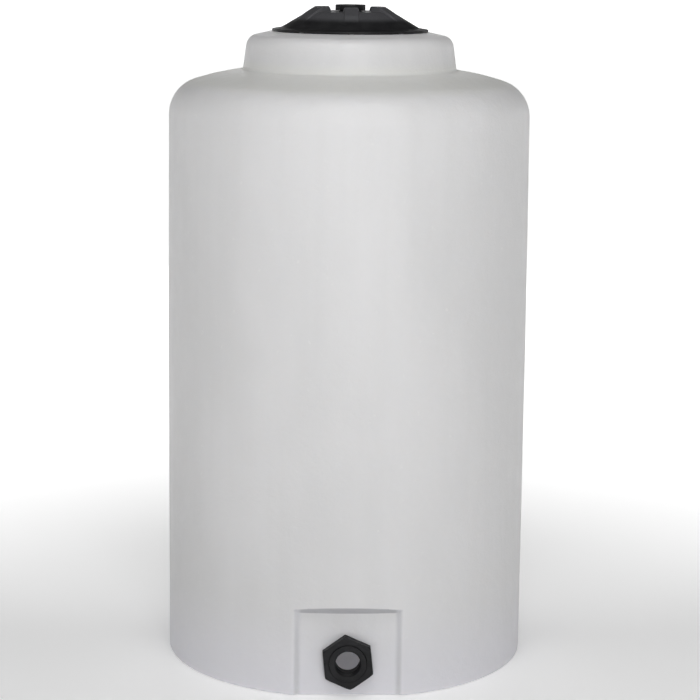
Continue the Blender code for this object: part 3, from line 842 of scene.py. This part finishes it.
def wall_loops(line, angles, grow):
    """Loops up one side of the wall. The flat bottom repeats the foot's loop, shrunk to the middle."""
    edge = next(i for i, (r, z) in enumerate(line) if r > TANK_RADIUS / 2 and z > line[0][1]) - 1
    foot = [pressed(*line[edge], angle, grow) for angle in angles]
    loops = []
    for r, z in line[:edge]:
        share = r / line[edge][0]
        if share > 0:
            loops.append([Vector((point.x * share, point.y * share, z)) for point in foot])
    loops.append(foot)
    loops += [[pressed(r, z, angle, grow) for angle in angles] for r, z in line[edge + 1 :]]
    return loops


def screw_pins(low, high):
    return around(lambda: prism(circle(SCREW_HOLE_RADIUS, 16), low, high), SCREW_COUNT, SCREW_CIRCLE)


def make_tank(finish):
    cutters = screw_pins(SEAT_Z - 2 * WALL, SEAT_Z + WALL)
    add(cutters, prism(circle(WALL_HOLE_RADIUS, 64), -2 * WALL, WALL), AT_OUTLET)
    shell = combined(tank_shape(), cutters, "DIFFERENCE")
    piece("tank", shell, finish, "tank", "tank_shell")


# Bulkhead fitting


def make_bulkhead_body(finish):
    seat = FITTING_REAR + FLANGE_THICKNESS
    outline = [
        (BORE_MOUTH_RADIUS, FITTING_REAR, 0),
        (FLANGE_RADIUS, FITTING_REAR, 0.0012),
        (FLANGE_RADIUS, seat, 0.0008),
        (SHANK_RADIUS, seat, 0),
        (SHANK_RADIUS, SHANK_END, 0.0008),
        (BORE_MOUTH_RADIUS, SHANK_END, 0.0004),
        (BORE_RADIUS, SHANK_END - BORE_CHAMFER, 0.0004),
        (BORE_RADIUS, FITTING_REAR + BORE_CHAMFER, 0.0004),
    ]
    line = rounded(outline, 4)
    line.append(line[0])
    step = PIPE_PITCH / 8
    line = divided(line, lambda middle: step if middle.x < SHANK_RADIUS + GAP else WALL)[:-1]
    loops = [ring(r, z, even_angles()) for r, z in line]
    bore = [loop for loop in loops if loop[0].x < BORE_MOUTH_RADIUS - GAP]
    shank = [loop for loop in loops if abs(loop[0].x - SHANK_RADIUS) < GAP / 3]
    bore_low = SHANK_END - BORE_CHAMFER - BORE_THREAD_LENGTH
    for part, low, high, depth in (
        (bore, bore_low, SHANK_END - BORE_CHAMFER / 2, PIPE_THREAD_DEPTH),
        (shank, seat + PIPE_PITCH, SHANK_END - PIPE_PITCH / 4, -PIPE_THREAD_DEPTH),
    ):
        for loop, new in zip(part, threaded(part, low, high, depth, PIPE_PITCH)):
            loop[:] = new
    shape = skinned(loops, True)
    piece("bulkhead_fitting", shape, finish, "tank", "bulkhead_body", AT_OUTLET)


def make_bulkhead_gasket(finish):
    low = FITTING_REAR + FLANGE_THICKNESS + GAP
    high = -WALL - GAP
    corners = ring_section(WALL_HOLE_RADIUS, FLANGE_RADIUS, low, high, (high - low) / 4)
    ring_shape = turned(rounded(corners), True)
    piece("fitting_gasket", ring_shape, finish, "tank", "bulkhead_gasket", AT_OUTLET)


def hexagon():
    """The nut's outline, with softly rounded corners and points along its flats."""
    turns = [math.pi / 2 + NUT_TURN + i * math.pi / 3 for i in range(6)]
    size = NUT_CORNER_RADIUS
    corners = [(size * math.cos(a), size * math.sin(a), NUT_CORNER_ROUNDING) for a in turns]
    line = rounded(corners, 4)
    return divided([*line, line[0]], lambda middle: NUT_FLAT_STEP)[:-1]


def nut_loop(outline, z, inset=0.0, limit=math.inf):
    """The hexagon at one height, moved in by inset and turned down to a limit radius."""
    loop = []
    for x, y in outline:
        size = math.hypot(x, y)
        new_size = soft_min(size - inset, limit, NUT_EDGE)
        loop.append(Vector((x * new_size / size, y * new_size / size, z)))
    return loop


def make_bulkhead_nut(finish):
    outline = hexagon()
    front = GAP + NUT_THICKNESS
    cone = NUT_CORNER_RADIUS - NUT_CHAMFER + front  # a chamfered loop's limit radius plus its height
    turns = [math.pi / 2 * i / NUT_EDGE_ROWS for i in range(NUT_EDGE_ROWS + 1)]
    edge = [(NUT_EDGE * (1 - math.cos(turn)), NUT_EDGE * (1 - math.sin(turn))) for turn in turns]
    loops = [nut_loop(outline, GAP + height, inset) for inset, height in reversed(edge)]
    for i in range(NUT_CHAMFER_ROWS + 1):
        z = front - NUT_EDGE - (NUT_CHAMFER + NUT_EDGE) * (1 - i / NUT_CHAMFER_ROWS)
        loops.append(nut_loop(outline, z, limit=cone - z))
    for inset, depth in edge[1:]:
        z = front - depth
        loops.append(nut_loop(outline, z, inset, cone - z))
    angles = [math.atan2(y, x) for x, y in outline]
    inside = [(NUT_BORE_RADIUS, front - NUT_BORE_EDGE), (NUT_BORE_RADIUS, GAP + NUT_BORE_EDGE)]
    inside = divided(inside, lambda middle: PIPE_PITCH / 8)
    mouth = NUT_BORE_RADIUS + NUT_BORE_EDGE
    bore = [ring(r, z, angles) for r, z in [(mouth, front), *inside, (mouth, GAP)]]
    bore = threaded(bore, GAP, front - NUT_BORE_EDGE, PIPE_THREAD_DEPTH, PIPE_PITCH)
    for share in (0.35, 0.7):  # two more loops across the front face
        loops.append([a.lerp(b, share) for a, b in zip(loops[-1], bore[0])])
    shape = skinned(loops + bore, True)
    piece("bulkhead_lock_nut", shape, finish, "tank", "bulkhead_nut", AT_OUTLET)


# Collar, its gasket and its screws


def make_collar(finish):
    low = bottom("lid_ring")
    flange_low = top("ring_gasket") + GAP
    flange_top = flange_low + COLLAR_FLANGE_THICKNESS
    high = top("lid_ring")
    outline = [
        (COLLAR_BORE, low, 0.0006),
        (COLLAR_OUTER, low, 0.0006),
        (COLLAR_OUTER, flange_low, 0),
        (radius("lid_ring"), flange_low, 0.0005),
        (radius("lid_ring"), flange_top, 0.0010),
        (COLLAR_OUTER, flange_top, 0.0008),
        (COLLAR_OUTER, high, 0.0006),
        (COLLAR_BORE, high, 0.0006),
    ]
    start = RIM_Z + PLUG_THREAD_START_Z - THREAD_LEAD / 2
    shape = turned(rounded(outline), True)
    shape = combined(shape, helical_ridge(COLLAR_BORE, COLLAR_CREST, start, COLLAR_TURNS), "UNION")
    shape = combined(shape, screw_pins(flange_low - WALL, flange_top + WALL), "DIFFERENCE")
    piece("threaded_collar", shape, finish, "tank", "lid_ring")


def make_ring_gasket(finish):
    low = bottom("ring_gasket")
    high = top("ring_gasket")
    corners = ring_section(FILL_RADIUS, radius("ring_gasket"), low, high, (high - low) / 4)
    shape = combined(turned(rounded(corners), True), screw_pins(low - WALL, high + WALL), "DIFFERENCE")
    piece("collar_gasket", shape, finish, "tank", "ring_gasket")


def screw_shape():
    """A pan-head screw with a cross recess, its head's underside at z = 0."""
    head = rounded(
        [
            (SCREW_RADIUS, 0, 0),
            (SCREW_HEAD_RADIUS, 0, 0.0003),
            (SCREW_HEAD_RADIUS, SCREW_HEAD_HEIGHT * 0.5, 0.0006),
            (SCREW_HEAD_RADIUS * 0.72, SCREW_HEAD_HEIGHT, 0.0010),
            (SCREW_HEAD_RADIUS * 0.3, SCREW_HEAD_HEIGHT, 0),
        ],
        3,
    )
    tip = (SCREW_RADIUS * 0.1, -SCREW_LENGTH)
    shank = [tip, (SCREW_RADIUS, -SCREW_LENGTH + SCREW_TIP), head[0]]
    shank = divided(shank, lambda middle: SCREW_PITCH / 6)
    loops = [ring(r, z, even_angles(32)) for r, z in shank[:-1] + head]
    plain = [loop for loop in loops if loop[0].z < 0]
    grooved = threaded(plain, -SCREW_LENGTH, 0, -SCREW_THREAD_DEPTH, SCREW_PITCH)
    for loop, new in zip(plain, grooved):
        loop[:] = new
    along = bar(-SLOT_REACH, SLOT_REACH, SLOT_WIDTH / 2)
    across = [(y, x) for x, y in reversed(along)]
    slots = [prism(outline, SLOT_FLOOR, SCREW_HEAD_HEIGHT * 2) for outline in (along, across)]
    return combined(skinned(loops), combined(*slots, "UNION"), "DIFFERENCE")


def make_screws(finish):
    for i in range(SCREW_COUNT):
        node = f"ring_screw_{i + 1}"
        place = centre(node)
        height_of_head = top(node) - SCREW_HEAD_HEIGHT
        turn = Matrix.Rotation(SCREW_TURN * i, 4, "Z")
        matrix = Matrix.Translation((place.x, place.y, height_of_head)) @ turn
        piece(f"collar_screw_{i + 1}", screw_shape(), finish, "tank", node, matrix)


# Lid


def lug_crest():
    """The top of a lug as an outward line, from the crown's deck to the lid's slope."""
    corners = [
        (LUG_TOP_INNER - 0.0007, CROWN[1] - 0.001, 0),
        (LUG_TOP_INNER, LUG_TOP_Z, LUG_ROUNDING),
        (LUG_TOP_OUTER, LUG_TOP_Z, 0.004),
        (*LUG_SHOULDER, 0.0035),
        (*LUG_OUTER, 0.002),
        (LUG_OUTER[0] + 0.002, LUG_OUTER[1] - 0.0035, 0),
    ]
    return rounded(corners, 5)


def hollow_crest():
    """The roof of the space under a lug, about as thick as the lid below the lug's crest."""
    slope = (LUG_TOP_Z - LUG_SHOULDER[1]) / (LUG_SHOULDER[0] - LUG_TOP_OUTER)
    outer = LUG_SHOULDER[0] - LID_WALL / 2
    outer_top = LUG_SHOULDER[1] + slope * LID_WALL / 2 - LID_WALL * math.hypot(1, slope)
    roof = LUG_TOP_Z - LID_WALL
    inner = LUG_TOP_INNER + LID_WALL
    corners = [
        (inner - 0.0005, CROWN[1] - 2 * LID_WALL, 0),
        (inner, roof, 0.0010),
        (LUG_TOP_OUTER, roof, 0.004),
        (outer, outer_top, 0.0010),
        (outer + 0.0008, LUG_OUTER[1] - LID_WALL, 0),
    ]
    return rounded(corners, 4)


def lug_side(rise, half_width):
    """Half of a lug's cross-section as (offset, height), from its middle to just past its foot."""
    tall = max(rise, LUG_LEAST)
    crown_round = min(LUG_ROUNDING, 0.45 * tall)
    foot_round = min(LUG_FILLET, 0.30 * tall)
    foot = half_width + LUG_DRAFT * tall
    corners = [(0, tall, 0), (half_width / 2, tall, 0), (half_width, tall, crown_round)]
    corners += [(foot, 0, foot_round), (foot + 2 * LUG_FILLET, 0, 0)]
    return [(offset, share * rise / tall) for offset, share in rounded(corners, 5)]


def lid_loop(r, z, crest, half_width):
    """Points round the lid at one radius, raised to the crest's height in each lug."""
    rise = max(height_at(crest, r) - z, 0) if crest else 0
    side = lug_side(rise, half_width)
    reach = min(max(r, LUG_NEAR), LUG_FAR)
    half = [(math.asin(offset / reach), step) for offset, step in side]
    last = half[-1][0]
    half += [(last + (SECTOR / 2 - last) * i / VALLEY_STEPS, 0) for i in range(1, VALLEY_STEPS + 1)]
    sector = [(-angle, step) for angle, step in reversed(half[1:-1])] + half
    loop = []
    for lug in range(LUG_COUNT):
        for angle, step in sector:
            turn = LUG_FIRST + SECTOR * lug + angle
            loop.append(Vector((r * math.cos(turn), r * math.sin(turn), z + step)))
    return loop


def lid_lines():
    """The lid's section as two outward lines, above and below, from the vent's shelf to the rim."""
    slope = (CROWN[1] - BRIM[1]) / (BRIM[0] - CROWN[0])
    drop = LID_WALL * math.hypot(1, slope)

    def underside(r):
        return BRIM[1] + slope * (BRIM[0] - r) - drop

    deck = CROWN[1] - LID_WALL
    deck_radius = BRIM[0] - (deck + drop - BRIM[1]) / slope
    above = [
        (SHELF_BORE, SHELF_TOP_Z, 0),
        (VENT_BORE, SHELF_TOP_Z, 0),
        (VENT_BORE, BOSS_TOP_Z, 0.0004),
        (BOSS_RADIUS, BOSS_TOP_Z, 0.0005),
        (BOSS_RADIUS, CROWN[1], 0.0015),
        (*CROWN, 0.004),
        (*BRIM, 0.010),
        (RIM_RADIUS, LIP_HEIGHT, 0.0012),
        (RIM_RADIUS, 0, 0),
    ]
    below = [
        (SHELF_BORE, SHELF_BOTTOM_Z, 0),
        (VENT_BORE, SHELF_BOTTOM_Z, 0),
        (VENT_BORE, TUBE_BOTTOM_Z, 0.0004),
        (TUBE_RADIUS, TUBE_BOTTOM_Z, 0.0004),
        (TUBE_RADIUS, deck, 0.001),
        (deck_radius, deck, 0.003),
        (PLUG_INNER, underside(PLUG_INNER), 0),
        (PLUG_INNER, -PLUG_DEPTH, 0.0007),
        (PLUG_RADIUS, -PLUG_DEPTH, 0.0007),
        (PLUG_RADIUS, SEAL_Z, 0),
        (SEAL_OUTER, SEAL_Z, 0),
        (SEAL_OUTER, underside(SEAL_OUTER), 0),
        (SEAL_OUTER + LID_WALL, underside(SEAL_OUTER + LID_WALL), 0),
        (LIP_INNER, LIP_HEIGHT - LID_WALL / 2, 0),
        (LIP_INNER, 0, 0),
    ]
    return rounded(above, 6), rounded(below, 4)


def split_at(line, r):
    """An outward line in two, at the first point past a radius."""
    i = next(i for i, point in enumerate(line) if point[0] > r)
    return line[:i], line[i:]


def make_lid(finish):
    above, below = lid_lines()
    loops = []
    for line, crest, half_width in (
        (above, lug_crest(), LUG_HALF_WIDTH),
        (below, hollow_crest(), LUG_HALF_WIDTH - LID_WALL),
    ):
        inside, outside = split_at(line, BOSS_RADIUS + LID_WALL)
        line = inside + with_stops([inside[-1], *outside], [r for r, _ in crest])[1:]
        line = divided(line, lambda middle: 0.004)
        level = [lid_loop(r, z, crest if r > LUG_NEAR else None, half_width) for r, z in line]
        loops = level if not loops else loops + level[::-1]
    ridge = helical_ridge(PLUG_RADIUS, PLUG_CREST, PLUG_THREAD_START_Z, PLUG_TURNS)
    shape = combined(skinned(loops, True), ridge, "UNION")
    piece("screw_lid", shape, finish, "lid", "lid", ON_LID)


def make_lid_gasket(finish):
    low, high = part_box("lid_gasket")
    soft = (high.z - low.z) / 2 - SEAL_FLAT / 2
    corners = ring_section(PLUG_RADIUS + SEAL_PLAY, high.x, low.z, high.z, soft)
    shape = turned(rounded(corners, 5), True)
    piece("lid_seal_ring", shape, finish, "lid_seal", "lid_gasket")


# Vent


def make_vent_cap(finish):
    under = CAP_TOP_Z - CAP_WALL
    inner = CAP_RADIUS - CAP_WALL
    outline = [
        (0.001, under, 0),
        (inner, under, 0.0008),
        (inner, CAP_SKIRT_Z, 0.0004),
        (CAP_RADIUS, CAP_SKIRT_Z, 0.0004),
        (CAP_RADIUS, CAP_TOP_Z, CAP_ROUNDING),
        (0.001, CAP_TOP_Z, 0),
    ]
    line = divided(rounded(outline, 5), lambda middle: 0.003)
    footprint = bar(BOSS_RADIUS + GAP, inner + CAP_WALL / 2, RIB_THICKNESS / 2)
    rib_low = CAP_SKIRT_Z + CAP_ROUNDING
    ribs = around(lambda: prism(footprint, rib_low, under + CAP_WALL / 2), RIB_COUNT, first=math.pi / 4)
    shape = combined(turned(line), ribs, "UNION")
    piece("vent_hood", shape, finish, "lid", "vent_cap", ON_LID)


def make_vent_screen(finish):
    """A perforated steel disc, its holes in staggered rows."""
    low = bottom("vent_screen")
    high = top("vent_screen")
    size = radius("vent_screen")
    holes = bmesh.new()
    rows = round(size / SCREEN_SPACING) + 1
    for row in range(-rows, rows + 1):
        for column in range(-rows, rows + 1):
            x = (column + (row % 2) / 2) * SCREEN_SPACING
            y = row * SCREEN_SPACING * math.sqrt(3) / 2
            if math.hypot(x, y) < size - SCREEN_EDGE - SCREEN_HOLE:
                hole = prism(circle(SCREEN_HOLE, 10), low - WALL, high + WALL)
                add(holes, hole, Matrix.Translation((x, y, 0)))
    line = rounded([(0.001, low, 0), (size, low, 0.0002), (size, high, 0.0002), (0.001, high, 0)])
    disc = combined(turned(line), holes, "DIFFERENCE")
    piece("insect_screen", disc, finish, "lid", "vent_screen")


def make_vent_poppet(finish):
    low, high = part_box("vent_poppet")
    disc_low = RIM_Z + SHELF_TOP_Z + GAP
    outline = [
        (0.0004, low.z, 0),
        (STEM_RADIUS, low.z, 0.0005),
        (STEM_RADIUS, disc_low, 0.0003),
        (high.x, disc_low, 0.0004),
        (high.x, high.z, 0.0006),
        (STEM_RADIUS * 2, high.z, 0.0004),
        (STEM_RADIUS * 1.7, high.z - 0.0005, 0.0002),
        (0.0004, high.z - 0.0005, 0),
    ]
    line = divided(rounded(outline), lambda middle: 0.002)
    piece("relief_poppet", turned(line, count=64), finish, "poppet", "vent_poppet")


def make_vent_retainer(finish):
    low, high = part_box("vent_retainer")

    def tube(inner, outer):
        corners = ring_section(inner, outer, low.z, high.z, RETAINER_ROUNDING)
        return turned(rounded(corners, 3), True, 64)

    start = (GUIDE_BORE + GUIDE_RADIUS) / 2
    footprint = bar(start, (RETAINER_INNER + high.x) / 2, RETAINER_ARM_WIDTH / 2)
    inset = (high.z - low.z) * RETAINER_ARM_INSET
    arms = around(lambda: prism(footprint, low.z + inset, high.z - inset), RETAINER_ARMS)
    shape = combined(tube(RETAINER_INNER, high.x), arms, "UNION")
    shape = combined(shape, tube(GUIDE_BORE, GUIDE_RADIUS), "UNION")
    piece("poppet_guide", shape, finish, "lid", "vent_retainer")


# Camera, floor and light


def make_camera():
    data = bpy.data.cameras.new("camera")
    data.lens = LENS_MM
    data.shift_x, data.shift_y = SHIFT
    camera = bpy.data.objects.new("camera", data)
    bpy.context.collection.objects.link(camera)
    back = Vector((-math.sin(VIEW_TURN), -math.cos(VIEW_TURN), 0)) * VIEW_DISTANCE
    turn = Matrix.Rotation(-VIEW_TURN, 4, "Z")
    pitch = Matrix.Rotation(math.pi / 2 - VIEW_PITCH, 4, "X")
    roll = Matrix.Rotation(VIEW_ROLL, 4, "Z")
    camera.matrix_world = Matrix.Translation(back + Vector((0, 0, VIEW_HEIGHT))) @ turn @ pitch @ roll
    bpy.context.scene.camera = camera


def make_floor():
    """A round floor whose far edge curves up into a low backdrop on every side."""
    line = [
        (FLOOR_RADIUS / 8, 0, 0),
        (FLOOR_RADIUS, 0, BACKDROP_ROUNDING),
        (FLOOR_RADIUS, BACKDROP_HEIGHT, 0),
    ]
    bm = skinned([ring(r, z, even_angles()) for r, z in rounded(line, 8)])
    highest = BACKDROP_HEIGHT - GAP
    ceiling = [face for face in bm.faces if min(v.co.z for v in face.verts) > highest]
    bmesh.ops.delete(bm, geom=ceiling, context="FACES")
    mesh = mesh_of(bm, "floor")
    mesh.shade_smooth()
    mesh.materials.append(floor_finish())
    floor = bpy.data.objects.new("floor", mesh)
    floor.location.z = cad_box[0].z - FLOOR_GAP
    bpy.context.collection.objects.link(floor)


def make_light(name, place, target, size, power):
    data = bpy.data.lights.new(name, "AREA")
    data.shape = "RECTANGLE"
    data.size, data.size_y = size
    data.energy = power
    light = bpy.data.objects.new(name, data)
    light.location = place
    light.rotation_euler = (Vector(target) - Vector(place)).to_track_quat("-Z", "Y").to_euler()
    bpy.context.collection.objects.link(light)


def make_glow():
    """Stands in for the daylight that comes through the tank's milky wall and fills its inside."""
    data = bpy.data.lights.new("light_through_the_wall", "POINT")
    data.energy = INNER_WATTS
    data.shadow_soft_size = INNER_SIZE
    light = bpy.data.objects.new("light_through_the_wall", data)
    light.location = centre("tank_shell")
    bpy.context.collection.objects.link(light)


def make_stage():
    make_floor()
    world = bpy.data.worlds.new("studio")
    world.use_nodes = True
    world.node_tree.nodes["Background"].inputs["Color"].default_value = (1, 1, 1, 1)
    world.node_tree.nodes["Background"].inputs["Strength"].default_value = WORLD_STRENGTH
    bpy.context.scene.world = world
    bpy.context.scene.view_settings.view_transform = "Standard"
    make_glow()
    for softbox in SOFTBOXES:
        make_light(*softbox)


def main():
    make_camera()
    make_stage()
    white = polyethylene()
    dark = (0.006, 0.006, 0.007)
    light = (0.013, 0.013, 0.014)
    cap_black = moulded_black("black_polypropylene", dark, light, (0.50, 0.64), 0.00004)
    # the lid is painted paler above this height, as a highlight on its lit top
    highlight_above = RIM_Z + LID_HIGHLIGHT_HEIGHT
    lid_black = moulded_black("worn_polypropylene", dark, light, (0.50, 0.64), 0.00004, highlight_above)
    dark = (0.004, 0.004, 0.005)
    light = (0.009, 0.009, 0.011)
    nut_black = moulded_black("glass_filled_nylon", dark, light, (0.50, 0.64), 0.00005)
    seal = rubber()
    bright = steel()
    make_tank(white)
    make_bulkhead_body(nut_black)
    make_bulkhead_gasket(seal)
    make_bulkhead_nut(nut_black)
    make_collar(cap_black)
    make_ring_gasket(seal)
    make_screws(bright)
    make_lid(lid_black)
    make_lid_gasket(seal)
    make_vent_cap(cap_black)
    make_vent_screen(bright)
    make_vent_poppet(cap_black)
    make_vent_retainer(cap_black)


main()
